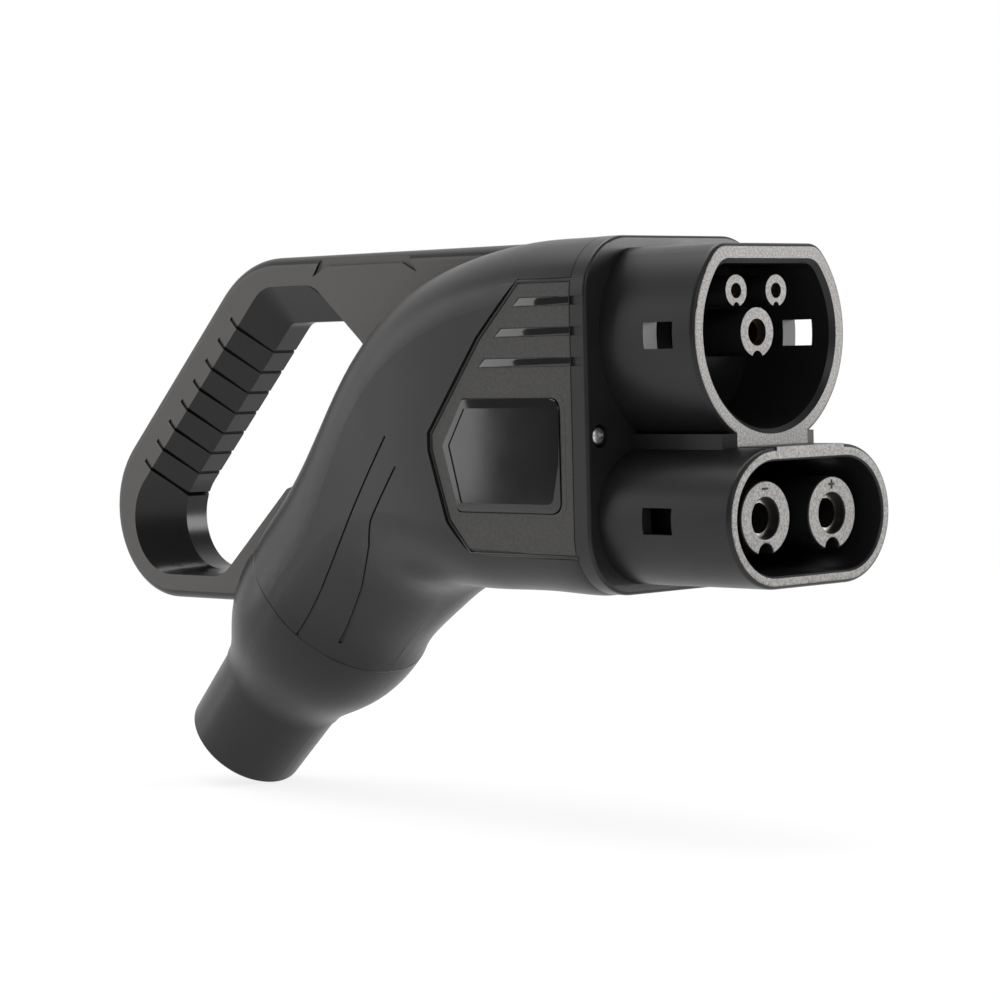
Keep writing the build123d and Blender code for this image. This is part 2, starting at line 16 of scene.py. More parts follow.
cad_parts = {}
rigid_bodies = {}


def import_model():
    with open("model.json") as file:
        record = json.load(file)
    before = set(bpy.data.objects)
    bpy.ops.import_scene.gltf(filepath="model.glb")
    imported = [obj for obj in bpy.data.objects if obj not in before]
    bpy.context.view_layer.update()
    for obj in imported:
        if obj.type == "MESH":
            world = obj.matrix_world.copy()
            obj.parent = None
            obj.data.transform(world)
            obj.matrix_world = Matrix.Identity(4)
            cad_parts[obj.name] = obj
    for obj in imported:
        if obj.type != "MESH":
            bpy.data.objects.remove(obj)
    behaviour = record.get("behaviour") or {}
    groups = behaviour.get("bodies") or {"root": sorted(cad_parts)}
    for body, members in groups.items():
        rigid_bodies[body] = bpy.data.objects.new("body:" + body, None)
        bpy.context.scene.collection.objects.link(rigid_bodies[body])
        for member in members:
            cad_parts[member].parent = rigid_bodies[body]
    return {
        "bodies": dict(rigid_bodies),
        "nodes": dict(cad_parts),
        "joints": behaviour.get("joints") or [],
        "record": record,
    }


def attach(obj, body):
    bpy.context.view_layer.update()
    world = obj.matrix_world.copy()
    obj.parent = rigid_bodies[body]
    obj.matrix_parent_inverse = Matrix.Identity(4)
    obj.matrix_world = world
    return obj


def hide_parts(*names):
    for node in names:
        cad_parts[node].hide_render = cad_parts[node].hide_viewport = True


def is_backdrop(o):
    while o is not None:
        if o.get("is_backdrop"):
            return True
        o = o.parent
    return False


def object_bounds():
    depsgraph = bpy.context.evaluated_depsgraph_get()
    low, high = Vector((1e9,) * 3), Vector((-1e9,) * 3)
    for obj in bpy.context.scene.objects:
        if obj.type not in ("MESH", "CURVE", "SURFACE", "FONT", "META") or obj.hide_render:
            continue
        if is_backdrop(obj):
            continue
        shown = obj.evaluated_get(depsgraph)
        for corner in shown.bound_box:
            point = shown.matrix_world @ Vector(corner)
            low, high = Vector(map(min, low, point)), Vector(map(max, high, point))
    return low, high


LOG = logging.getLogger("charging_plug")
MM = 0.001
# A face counts as square to an axis when the cosine of its tilt is above this.
SQUARE_TO_AXIS = 0.95
# Length of one band of Blender's wave texture at a scale of 1.
WAVE_BAND = 0.314
WHITE = (1.0, 1.0, 1.0, 1.0)
Point = tuple[float, float]


def linear(hex_colour: str) -> tuple[float, float, float, float]:
    """Turn an sRGB hex colour into a linear one.

    Args:
        hex_colour: Colour such as "1f2021".

    Returns:
        Linear red, green, blue and an alpha of 1.
    """
    parts = [int(hex_colour[i : i + 2], 16) / 255 for i in (0, 2, 4)]
    lin = [c / 12.92 if c <= 0.04045 else ((c + 0.055) / 1.055) ** 2.4 for c in parts]
    return (lin[0], lin[1], lin[2], 1.0)


def add_node(
    tree: bpy.types.NodeTree,
    kind: str,
    settings: dict[str, Any] | None = None,
    inputs: dict[str | int, Any] | None = None,
) -> bpy.types.Node:
    """Add one shader node with its settings and links.

    Args:
        tree: Node tree that takes the node.
        kind: Blender type name without its leading "ShaderNode", such as "Bump".
        settings: Properties set on the node itself.
        inputs: Socket name or index to a value, or to another node's output socket.

    Returns:
        The new node.
    """
    node = tree.nodes.new("ShaderNode" + kind)
    for name, value in (settings or {}).items():
        setattr(node, name, value)
    for name, value in (inputs or {}).items():
        if isinstance(value, bpy.types.NodeSocket):
            tree.links.new(value, node.inputs[name])
        else:
            node.inputs[name].default_value = value
    return node


# ---- Finishes ----


@dataclass(frozen=True)
class MouldedPlastic:
    """Injection-moulded plastic with a spark-eroded grain.

    To the eye it is near-black, with a soft sheen that handling has left slightly uneven.
    """

    name: str
    colour: str
    roughness: float
    grain_mm: float
    bump_mm: float
    ior: float = 1.5
    sheen_spread: float = 0.035
    specular: float = 0.32
    pigment_mm: float = 24.0
    pigment_spread: float = 1.25
    handling_mm: float = 26.0
    bump_strength: float = 0.7

    def noise(self, tree: bpy.types.NodeTree, size_mm: float, detail: float) -> bpy.types.NodeSocket:
        """Add a noise whose lumps have a given size.

        Args:
            tree: Node tree of the material.
            size_mm: Size of one lump.
            detail: How many finer layers lie on it.

        Returns:
            The noise's value, 0 to 1.
        """
        place = add_node(tree, "TexCoord").outputs["Object"]
        inputs = {"Vector": place, "Scale": 1 / (size_mm * MM), "Detail": detail, "Roughness": 0.6}
        return add_node(tree, "TexNoise", inputs=inputs).outputs["Fac"]

    def colour_socket(self, tree: bpy.types.NodeTree) -> bpy.types.NodeSocket:
        """Colour of the moulding: the pigment varies by a shade over a few centimetres.

        Args:
            tree: Node tree of the material.

        Returns:
            The colour.
        """
        base = linear(self.colour)
        paler = tuple(c * self.pigment_spread for c in base[:3]) + (1.0,)
        mix = add_node(
            tree,
            "Mix",
            {"data_type": "RGBA"},
            {"Factor": self.noise(tree, self.pigment_mm, 4.0), 6: base, 7: paler},
        )
        return mix.outputs[2]

    def roughness_socket(self, tree: bpy.types.NodeTree) -> bpy.types.NodeSocket:
        """Roughness of the moulding, cloudy from handling.

        Args:
            tree: Node tree of the material.

        Returns:
            The roughness.
        """
        inputs = {
            "Value": self.noise(tree, self.handling_mm, 4.0),
            "From Min": 0.3,
            "From Max": 0.7,
            "To Min": self.roughness - self.sheen_spread,
            "To Max": self.roughness + self.sheen_spread,
        }
        return add_node(tree, "MapRange", inputs=inputs).outputs["Result"]

    def height_socket(self, tree: bpy.types.NodeTree) -> bpy.types.NodeSocket:
        """Height of the spark-eroded grain.

        Args:
            tree: Node tree of the material.

        Returns:
            The height, 0 to 1.
        """
        return self.noise(tree, self.grain_mm, 3.0)

    def build(self) -> bpy.types.Material:
        """Build the material.

        Returns:
            The finished material.
        """
        material = bpy.data.materials.new(self.name)
        material.use_nodes = True
        tree = material.node_tree
        tree.nodes.clear()
        height = self.height_socket(tree)
        bump = add_node(
            tree,
            "Bump",
            inputs={"Height": height, "Distance": self.bump_mm * MM, "Strength": self.bump_strength},
        )
        shader = add_node(
            tree,
            "BsdfPrincipled",
            inputs={
                "Base Color": self.colour_socket(tree),
                "Roughness": self.roughness_socket(tree),
                "IOR": self.ior,
                "Specular IOR Level": self.specular,
                "Normal": bump.outputs["Normal"],
            },
        )
        add_node(tree, "OutputMaterial", inputs={"Surface": shader.outputs["BSDF"]})
        return material


def flat_zone(
    tree: bpy.types.NodeTree, axis: str, levels_mm: tuple[float, ...], slack_mm: float, both_sides: bool
) -> bpy.types.NodeSocket:
    """Pick out the flat faces that lie at given places along one axis of the plug.

    Args:
        tree: Node tree of the material.
        axis: "X", "Y" or "Z".
        levels_mm: Where the faces lie on that axis.
        slack_mm: How far a face may lie from its place.
        both_sides: Whether the faces on the other side of the middle count too.

    Returns:
        1 on those faces, 0 elsewhere.
    """
    coords = add_node(tree, "TexCoord")
    sockets = []
    for name in ("Object", "Normal"):
        part = add_node(tree, "SeparateXYZ", inputs={0: coords.outputs[name]}).outputs[axis]
        if both_sides:
            part = add_node(tree, "Math", {"operation": "ABSOLUTE"}, {0: part}).outputs[0]
        sockets.append(part)
    place, facing = sockets
    square = add_node(
        tree, "Math", {"operation": "GREATER_THAN"}, {0: facing, 1: SQUARE_TO_AXIS}
    ).outputs[0]
    hits = None
    for level in levels_mm:
        hit = add_node(
            tree, "Math", {"operation": "COMPARE"}, {0: place, 1: level * MM, 2: slack_mm * MM}
        ).outputs[0]
        if hits is not None:
            hit = add_node(tree, "Math", {"operation": "MAXIMUM"}, {0: hits, 1: hit}).outputs[0]
        hits = hit
    return add_node(tree, "Math", {"operation": "MULTIPLY"}, {0: square, 1: hits}).outputs[0]


def beyond(
    tree: bpy.types.NodeTree, way: tuple[float, float, float], reach_mm: float
) -> bpy.types.NodeSocket:
    """Pick out what lies further than a distance along one direction.

    Args:
        tree: Node tree of the material.
        way: The direction, not necessarily of unit length.
        reach_mm: The distance, in mm, times the direction's length.

    Returns:
        1 beyond it, 0 elsewhere.
    """
    place = add_node(tree, "TexCoord").outputs["Object"]
    reach = add_node(tree, "VectorMath", {"operation": "DOT_PRODUCT"}, {0: place, 1: way}).outputs["Value"]
    return add_node(tree, "Math", {"operation": "GREATER_THAN"}, {0: reach, 1: reach_mm * MM}).outputs[0]


@dataclass(frozen=True)
class ShellPlastic(MouldedPlastic):
    """Glass-filled nylon shell.

    To the eye it is satin on the barrel and grip, duller and paler on the flat flanks of the handle, and
    grained like leather on the side fields. Fingers have polished the inside of the handle, which makes it
    glossier; its colour there is darker, as painted shade.
    """

    field_level_mm: float = 35.2
    field_slack_mm: float = 0.06
    # Inward directions of the field's three rear sides, each with its limit 0.8 mm outside the side.
    field_sides: tuple[tuple[tuple[float, float, float], float], ...] = (
        ((0.793, 0.0, -0.608), -60.4),
        ((0.946, 0.0, 0.325), -100.3),
        ((0.738, 0.0, 0.675), -99.5),
    )
    field_roughness: float = 0.42
    field_grain_mm: float = 0.9
    flank_levels_mm: tuple[float, ...] = (12.3, 11.5)
    flank_slack_mm: float = 0.25
    flank_colour: str = "494745"
    flank_roughness: float = 0.55
    field_dark: str = "212020"
    field_pale: str = "403f3d"
    leather_mm: float = 1.1
    leather_grain_mm: float = 0.5
    leather_depth: float = 3.0
    leather_round: float = 0.4
    opening_mm: tuple[float, float, float] = (-200.0, 0.0, -32.0)
    handle_start_mm: float = 140.0
    # Colour inside the handle: painted shade, darker than the rest of the shell.
    handle_inside_shade: str = "0e0d0d"
    polished_roughness: float = 0.27

    def inside_handle(self, tree: bpy.types.NodeTree) -> bpy.types.NodeSocket:
        """Pick out the handle's surfaces that face its opening.

        Args:
            tree: Node tree of the material.

        Returns:
            1 on those surfaces, 0 elsewhere.
        """
        coords = add_node(tree, "TexCoord")
        place, normal = coords.outputs["Object"], coords.outputs["Normal"]
        middle = tuple(v * MM for v in self.opening_mm)
        inward = add_node(tree, "VectorMath", {"operation": "SUBTRACT"}, {0: middle, 1: place}).outputs[0]
        facing = add_node(
            tree, "VectorMath", {"operation": "DOT_PRODUCT"}, {0: normal, 1: inward}
        ).outputs["Value"]
        turned = add_node(tree, "Math", {"operation": "GREATER_THAN"}, {0: facing, 1: 0.0}).outputs[0]
        # Only the handle reaches so far back and up from the nose.
        far = beyond(tree, (-1.0, 0.0, 1.0), self.handle_start_mm)
        return add_node(tree, "Math", {"operation": "MULTIPLY"}, {0: turned, 1: far}).outputs[0]

    def mix_zones(
        self, tree: bpy.types.NodeTree, base: bpy.types.NodeSocket, field: Any, flank: Any, inside: Any
    ) -> bpy.types.NodeSocket:
        """Swap a value for others on the fields, the handle's flanks and its inside.

        Args:
            tree: Node tree of the material.
            base: Value on the barrel and grip.
            field: Value or socket for the fields.
            flank: Value or socket for the flanks.
            inside: Value or socket for the inside of the handle.

        Returns:
            The mixed value.
        """
        colours = base.type == "RGBA"
        kind = {"data_type": "RGBA" if colours else "FLOAT"}
        first, second, out = (6, 7, 2) if colours else (2, 3, 0)
        # Behind the field, the grip passes through the field's level too.
        on_field = flat_zone(tree, "Y", (self.field_level_mm,), self.field_slack_mm, True)
        for way, reach_mm in self.field_sides:
            within = beyond(tree, way, reach_mm)
            on_field = add_node(tree, "Math", {"operation": "MULTIPLY"}, {0: on_field, 1: within}).outputs[0]
        zones = (
            (self.inside_handle(tree), inside),
            (on_field, field),
            (flat_zone(tree, "Y", self.flank_levels_mm, self.flank_slack_mm, True), flank),
        )
        mixed = base
        for zone, value in zones:
            mixed = add_node(tree, "Mix", kind, {"Factor": zone, first: mixed, second: value}).outputs[out]
        return mixed

    def colour_socket(self, tree: bpy.types.NodeTree) -> bpy.types.NodeSocket:
        """Colour, paler on the fields and flanks, where the coarser grain scatters light, and darker inside
        the handle as painted shade.

        Args:
            tree: Node tree of the material.

        Returns:
            The colour.
        """
        # Grains of the field differ by a shade, so that they show singly.
        grains = self.noise(tree, self.field_grain_mm, 2.0)
        field = add_node(
            tree,
            "Mix",
            {"data_type": "RGBA"},
            {"Factor": grains, 6: linear(self.field_dark), 7: linear(self.field_pale)},
        ).outputs[2]
        base, flank = super().colour_socket(tree), linear(self.flank_colour)
        # Inside the handle the colour is darkened as painted shade; the lower roughness there is the real
        # polish.
        return self.mix_zones(tree, base, field, flank, linear(self.handle_inside_shade))

    def roughness_socket(self, tree: bpy.types.NodeTree) -> bpy.types.NodeSocket:
        """Roughness, higher on the fields and flanks, lower inside the handle.

        Args:
            tree: Node tree of the material.

        Returns:
            The roughness.
        """
        base = super().roughness_socket(tree)
        return self.mix_zones(
            tree, base, self.field_roughness, self.flank_roughness, self.polished_roughness
        )

    def height_socket(self, tree: bpy.types.NodeTree) -> bpy.types.NodeSocket:
        """Height: fine grain, with leather cells on the fields.

        Args:
            tree: Node tree of the material.

        Returns:
            The height, 0 to 1.
        """
        place = add_node(tree, "TexCoord").outputs["Object"]
        cells = add_node(
            tree,
            "TexVoronoi",
            {"feature": "SMOOTH_F1"},
            {"Vector": place, "Scale": 1 / (self.leather_mm * MM), "Smoothness": self.leather_round},
        ).outputs["Distance"]
        fine = self.noise(tree, self.leather_grain_mm, 2.0)
        leather = add_node(
            tree, "Math", {"operation": "MULTIPLY_ADD"}, {0: cells, 1: -self.leather_depth, 2: fine}
        ).outputs[0]
        grain = super().height_socket(tree)
        return self.mix_zones(tree, grain, leather, grain, grain)


@dataclass(frozen=True)
class NosePlastic(MouldedPlastic):
    """Glass-filled PBT of the nose and its tubes.

    To the eye it is black and smooth. Its front faces are painted pale grey with a speckle, a painted
    highlight for the sheen that they catch, over their spark-eroded grain.
    """

    rim_levels_mm: tuple[float, ...] = (0.0, 12.9, 8.5, -4.75)
    rim_slack_mm: float = 0.12
    rim_grain_mm: float = 0.5
    rim_depth: float = 3.0
    speckle_mm: float = 0.55
    # Pale speckle of the front faces: a painted highlight for the sheen that they catch.
    rim_highlight_dark: str = "555351"
    rim_highlight_pale: str = "7e7b78"

    def colour_socket(self, tree: bpy.types.NodeTree) -> bpy.types.NodeSocket:
        """Colour, painted pale and speckled on the front faces as a painted highlight.

        Args:
            tree: Node tree of the material.

        Returns:
            The colour.
        """
        # The speckle is coarser than the real grit, so that it shows. The pale speckle on the front faces is
        # a painted highlight for the sheen that they catch.
        speckle = self.noise(tree, self.speckle_mm, 2.0)
        steep = add_node(
            tree, "MapRange", inputs={"Value": speckle, "From Min": 0.38, "From Max": 0.62}
        ).outputs["Result"]
        painted_rim_highlight = add_node(
            tree,
            "Mix",
            {"data_type": "RGBA"},
            {"Factor": steep, 6: linear(self.rim_highlight_dark), 7: linear(self.rim_highlight_pale)},
        ).outputs[2]
        on_rim = flat_zone(tree, "X", self.rim_levels_mm, self.rim_slack_mm, False)
        mix = add_node(
            tree, "Mix", {"data_type": "RGBA"}, {"Factor": on_rim, 6: super().colour_socket(tree), 7: painted_rim_highlight}
        )
        return mix.outputs[2]

    def height_socket(self, tree: bpy.types.NodeTree) -> bpy.types.NodeSocket:
        """Height: fine grain, coarser on the front faces.

        Args:
            tree: Node tree of the material.

        Returns:
            The height.
        """
        on_rim = flat_zone(tree, "X", self.rim_levels_mm, self.rim_slack_mm, False)
        grit = self.noise(tree, self.rim_grain_mm, 2.0)
        coarse = add_node(
            tree, "Math", {"operation": "MULTIPLY"}, {0: grit, 1: self.rim_depth}
        ).outputs[0]
        mix = add_node(
            tree, "Mix", {"data_type": "FLOAT"}, {"Factor": on_rim, 2: super().height_socket(tree), 3: coarse}
        )
        return mix.outputs[0]


@dataclass(frozen=True)
class TurnedMetal:
    """Turned metal, plated or bare.

    To the eye it is bright, with fine rings that the tool left round the axis of mating.
    """

    name: str
    colour: str
    tarnish: str
    roughness: float
    ring_mm: float = 0.35
    ring_depth_mm: float = 0.012
    stain_scale: float = 420.0
    polish_gain: float = 0.06
    tarnish_gain: float = 0.1

    def build(self) -> bpy.types.Material:
        """Build the material.

        Returns:
            The finished material.
        """
        material = bpy.data.materials.new(self.name)
        material.use_nodes = True
        tree = material.node_tree
        tree.nodes.clear()
        place = add_node(tree, "TexCoord").outputs["Object"]
        rings = add_node(
            tree,
            "TexWave",
            {"bands_direction": "X"},
            {"Vector": place, "Scale": WAVE_BAND / (self.ring_mm * MM), "Distortion": 0.6},
        ).outputs["Fac"]
        stain = add_node(
            tree,
            "TexNoise",
            inputs={"Vector": place, "Scale": self.stain_scale, "Detail": 4.0},
        ).outputs["Fac"]
        colour = add_node(
            tree,
            "Mix",
            {"data_type": "RGBA"},
            {"Factor": stain, 6: linear(self.colour), 7: linear(self.tarnish)},
        ).outputs[2]
        dull = add_node(
            tree,
            "MapRange",
            inputs={
                "Value": stain,
                "To Min": self.roughness - self.polish_gain,
                "To Max": self.roughness + self.tarnish_gain,
            },
        ).outputs["Result"]
        bump = add_node(
            tree,
            "Bump",
            inputs={"Height": rings, "Distance": self.ring_depth_mm * MM, "Strength": 0.5},
        ).outputs["Normal"]
        shader = add_node(
            tree,
            "BsdfPrincipled",
            inputs={"Base Color": colour, "Metallic": 1.0, "Roughness": dull, "Normal": bump},
        )
        add_node(tree, "OutputMaterial", inputs={"Surface": shader.outputs["BSDF"]})
        return material


class Finish(Enum):
    """The finishes on the plug."""

    # Warm black with a soft, slightly cloudy sheen.
    SHELL = ShellPlastic("PA6 moulded, spark-eroded satin", "191818", 0.36, 0.45, 0.010)
    # The same black from a smoother tool, so a little shinier.
    COLLAR = MouldedPlastic("PA6 moulded, fine satin", "191818", 0.34, 0.45, 0.008)
    # Cooler and deeper black, with a painted highlight: its rims are painted pale.
    NOSE = NosePlastic("PBT moulded, fine satin", "141416", 0.38, 0.4, 0.010)
    # Mirror black from a polished tool, with a faint waviness.
    GLOSS = MouldedPlastic("ABS moulded, piano gloss", "0b0b0d", 0.055, 6.0, 0.002, 1.52, 0.02, 0.6)
    # Dull black that hardly reflects.
    SEAL = MouldedPlastic("EPDM rubber, pressed", "0c0c0c", 0.62, 0.4, 0.02)
    # Golden brown with darker stains.
    BRASS = TurnedMetal("Brass, turned", "a87f4a", "6b4d2a", 0.3)
    # Grey rather than bright, because silver tarnishes in air.
    SILVER = TurnedMetal("Copper, silver-plated and tarnished", "8f8b84", "54504a", 0.34)
    # Bright and slightly blurred.
    STEEL = TurnedMetal("Steel, zinc-plated", "f0f1f2", "d0d2d4", 0.38)


NODE_FINISH: dict[str, Finish] = {
    "nose_housing": Finish.NOSE,
    "front_collar": Finish.COLLAR,
    "main_shell": Finish.SHELL,
    "rear_collar": Finish.COLLAR,
    "cable_sleeve": Finish.COLLAR,
    "cable_seal": Finish.SEAL,
    "pe_insulator": Finish.NOSE,
    "cp_insulator": Finish.NOSE,
    "pp_insulator": Finish.NOSE,
    "dc_plus_insulator": Finish.NOSE,
    "dc_minus_insulator": Finish.NOSE,
    "pe_contact": Finish.BRASS,
    "cp_contact": Finish.BRASS,
    "pp_contact": Finish.BRASS,
    "dc_plus_contact": Finish.SILVER,
    "dc_minus_contact": Finish.SILVER,
}


class Palette:
    """The finished materials, each built once."""

    def __init__(self) -> None:
        """Build every finish."""
        self.made = {finish: finish.value.build() for finish in Finish}

    def dress(self, obj: bpy.types.Object, finish: Finish) -> None:
        """Give an object one finish.

        Args:
            obj: Object that takes it.
            finish: The finish.
        """
        obj.data.materials.clear()
        obj.data.materials.append(self.made[finish])

    def dress_nodes(self, frame: dict[str, Any]) -> None:
        """Give every CAD node that stays in view its finish.

        Args:
            frame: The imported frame, as loaded.
        """
        for name, finish in NODE_FINISH.items():
            self.dress(frame["nodes"][name], finish)
            LOG.info("dressed %s", name)


# ---- Mesh helpers ----


def offset_outline(points: list[Point], amount: float) -> list[Point]:
    """Push every side of a convex outline outwards.

    Args:
        points: Corners in order, either way round.
        amount: Distance in mm, negative to draw the outline in.

    Returns:
        The new corners.
    """
    area = sum(a[0] * b[1] - b[0] * a[1] for a, b in zip(points, points[1:] + points[:1]))
    turn = 1.0 if area > 0 else -1.0
    moved = []
    for i, corner in enumerate(points):
        sides = []
        for start, end in ((points[i - 1], corner), (corner, points[(i + 1) % len(points)])):
            along = (Vector(end) - Vector(start)).normalized()
            sides.append(Vector((along.y, -along.x)) * turn)
        reach = (sides[0] + sides[1]) / (1 + sides[0].dot(sides[1]))
        moved.append((corner[0] + reach.x * amount, corner[1] + reach.y * amount))
    return moved


def rounded_outline(points: list[Point], radii: list[float], steps: int = 6) -> list[Point]:
    """Round the corners of a convex outline.

    Args:
        points: Corners in order.
        radii: Radius at each corner, in mm.
        steps: How many segments each round has.

    Returns:
        Points of the rounded outline.
    """
    smooth = []
    for i, (corner, radius) in enumerate(zip(points, radii)):
        here = Vector(corner)
        back = (Vector(points[i - 1]) - here).normalized()
        ahead = (Vector(points[(i + 1) % len(points)]) - here).normalized()
        half = back.angle(ahead) / 2
        centre = here + (back + ahead).normalized() * (radius / math.sin(half))
        first = here + back * (radius / math.tan(half)) - centre
        last = here + ahead * (radius / math.tan(half)) - centre
        sweep = first.angle_signed(last)
        for k in range(steps + 1):
            arm = first.copy()
            arm.rotate(Matrix.Rotation(-sweep * k / steps, 2))
            smooth.append(tuple(centre + arm))
    return smooth


def link_mesh(name: str, shape: bmesh.types.BMesh) -> bpy.types.Object:
    """Turn a bmesh in millimetres into a linked object in metres.

    Args:
        name: Name of the piece.
        shape: Its mesh, which is freed.

    Returns:
        The new object.
    """
    bmesh.ops.scale(shape, vec=(MM, MM, MM), verts=shape.verts)
    bmesh.ops.recalc_face_normals(shape, faces=shape.faces)
    mesh = bpy.data.meshes.new(name)
    shape.to_mesh(mesh)
    shape.free()
    obj = bpy.data.objects.new(name, mesh)
    bpy.context.collection.objects.link(obj)
    return obj


def add_prism(
    shape: bmesh.types.BMesh, outline: list[Vector], along: Vector, bevel: float
) -> None:
    """Add a prism whose far end has bevelled edges.

    Args:
        shape: Mesh that takes it, in mm.
        outline: Corners of the near end.
        along: From the near end to the far end.
        bevel: Width of the bevel round the far end, in mm.
    """
    near = [shape.verts.new(point) for point in outline]
    far = [shape.verts.new(point + along) for point in outline]
    count = len(outline)
    shape.faces.new(near)
    top = shape.faces.new(far)
    for i in range(count):
        shape.faces.new((near[i], near[(i + 1) % count], far[(i + 1) % count], far[i]))
    if bevel > 0:
        bmesh.ops.bevel(
            shape, geom=list(top.edges), offset=bevel, segments=3, profile=0.5, affect="EDGES"
        )


def smooth_by_angle(obj: bpy.types.Object, degrees: float = 35.0) -> None:
    """Shade an object smooth, and keep the edges sharper than an angle.

    Args:
        obj: The object.
        degrees: The angle.
    """
    obj.data.shade_smooth()
    obj.data.set_sharp_from_angle(angle=math.radians(degrees))


def cut(target: bpy.types.Object, cutter: bpy.types.Object) -> None:
    """Cut one object's shape out of another and delete the cutter.

    Args:
        target: Object that is cut.
        cutter: Object whose shape is taken out.
    """
    step = target.modifiers.new("cut", "BOOLEAN")
    step.operation = "DIFFERENCE"
    step.solver = "EXACT"
    step.object = cutter
    bpy.context.view_layer.update()
    shape = bpy.data.meshes.new_from_object(target.evaluated_get(bpy.context.evaluated_depsgraph_get()))
    target.modifiers.clear()
    old = target.data
    target.data = shape
    bpy.data.meshes.remove(old)
    bpy.data.objects.remove(cutter)


def finish_piece(
    obj: bpy.types.Object, palette: Palette, finish: Finish, nodes: tuple[str, ...] = ()
) -> None:
    """Dress a piece, let it ride on the plug, and report it.

    Args:
        obj: The piece.
        palette: The finished materials.
        finish: Its finish.
        nodes: CAD nodes that it stands for.
    """
    palette.dress(obj, finish)
    smooth_by_angle(obj)
    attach(obj, "root")
    if nodes:
        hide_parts(*nodes)
    LOG.info("built %s", obj.name)


# ---- Side trim ----


@dataclass
class SideTrim:
    """Glossy inset and bars let into one flank, each with a narrow gap round it."""

    side: str
    sign: float
    pocket_floor: float = 33.95
    field_level: float = 35.2
    gap: float = 0.3
    cover: float = 1.7
    cover_proud: float = 0.04
    panel_top: float = 35.55
    panel_bevel: float = 0.35
    window_deep: float = 0.3
    cutter_deep: float = 2.0
    bar_top: float = 35.42
    bar_bevel: float = 0.2
    bar_height: float = 2.3
    bar_slant: float = 2.6
    bar_inset: float = 0.4
    bar_right: float = -39.6
    cover_front: float = 0.35

    @property
    def inset_outline(self) -> list[Point]:
        """Five-sided outline of the inset, with its point to the rear."""
        return [(-81.2, -16.1), (-43.9, -16.1), (-43.9, -47.4), (-83.6, -47.4), (-89.5, -29.0)]

    @property
    def inset_radii(self) -> list[float]:
        """Radii of the inset's corners: the two at the front are the roundest."""
        return [1.2, 3.2, 3.2, 1.2, 1.5]

    @property
    def window_outline(self) -> list[Point]:
        """Outline of the sunk window in the inset."""
        return [(-80.6, -18.9), (-46.8, -18.9), (-46.8, -44.7), (-82.4, -44.7), (-86.9, -29.0)]

    @property
    def window_radii(self) -> list[float]:
        """Radii of the window's corners."""
        return [0.6, 2.2, 2.2, 0.6, 0.8]

    @property
    def field_outline(self) -> list[Point]:
        """Outline of the sunk field; its front side lies inside the collar."""
        return [
            (-38.0, 15.7),
            (-59.0, 15.8),
            (-74.7, 0.6),
            (-94.7, -25.5),
            (-94.7, -30.5),
            (-88.0, -50.0),
            (-79.5, -59.3),
            (-38.0, -59.4),
        ]

    @property
    def bead_section(self) -> list[Point]:
        """Section of the bead: how far in from the outline, and how far from the middle."""
        return [(0.3, 34.55), (0.3, 35.2), (0.5, 35.42), (0.85, 35.42), (1.05, 35.2), (1.05, 34.55)]

    @property
    def bar_starts(self) -> list[Point]:
        """Rear end and height of each bar's middle line."""
        return [(-59.8, 9.6), (-67.0, 1.5), (-73.6, -6.6)]

    def lift(self, outline: list[Point], level: float) -> list[Vector]:
        """Place an outline on a plane beside the plug.

        Args:
            outline: Points in side view.
            level: Distance of the plane from the middle, in mm.

        Returns:
            Points in space.
        """
        return [Vector((x, self.sign * level, z)) for x, z in outline]

    def bar_outline(self, start: Point) -> list[Point]:
        """Outline of one bar, with a slanted rear end.

        Args:
            start: Rear end and height of the bar's middle line.

        Returns:
            Its four corners.
        """
        x, z = start
        half = self.bar_height / 2
        lean = self.bar_slant / 2
        return [
            (x + lean + self.bar_inset, z + half),
            (self.bar_right, z + half),
            (self.bar_right, z - half),
            (x - lean + self.bar_inset, z - half),
        ]

    def add_cover(
        self, shape: bmesh.types.BMesh, inner: list[Point], outer: list[Point]
    ) -> None:
        """Add a ring that carries the field up to the gap round a trim part.

        Args:
            shape: Mesh that takes it, in mm.
            inner: Outline of its hole.
            outer: Outline of its outside, with as many points.
        """
        top = self.field_level + self.cover_proud
        loops = [
            [shape.verts.new(point) for point in self.lift(outline, level)]
            for outline, level in (
                (inner, self.pocket_floor),
                (inner, top),
                (outer, top),
                (outer, self.pocket_floor),
            )
        ]
        count = len(inner)
        for k, loop in enumerate(loops):
            following = loops[(k + 1) % 4]
            for i in range(count):
                j = (i + 1) % count
                shape.faces.new((loop[i], loop[j], following[j], following[i]))

    def build_panel(self) -> bpy.types.Object:
        """Build the glossy inset with its sunk window.

        Returns:
            The piece.
        """
        shape = bmesh.new()
        radii = self.inset_radii
        outline = rounded_outline(offset_outline(self.inset_outline, -self.gap), radii)
        rise = self.sign * (self.panel_top - self.pocket_floor)
        add_prism(shape, self.lift(outline, self.pocket_floor), Vector((0, rise, 0)), self.panel_bevel)
        panel = link_mesh(f"inset_panel_{self.side}", shape)
        window = bmesh.new()
        sunk = rounded_outline(self.window_outline, self.window_radii)
        floor = self.panel_top - self.window_deep
        add_prism(window, self.lift(sunk, floor), Vector((0, self.sign * self.cutter_deep, 0)), 0.0)
        cut(panel, link_mesh("window_cutter", window))
        return panel

    def build_bars(self) -> bpy.types.Object:
        """Build the three glossy bars.

        Returns:
            The piece.
        """
        shape = bmesh.new()
        rise = self.sign * (self.bar_top - self.pocket_floor)
        for start in self.bar_starts:
            outline = self.lift(self.bar_outline(start), self.pocket_floor)
            add_prism(shape, outline, Vector((0, rise, 0)), self.bar_bevel)
        return link_mesh(f"grip_bars_{self.side}", shape)

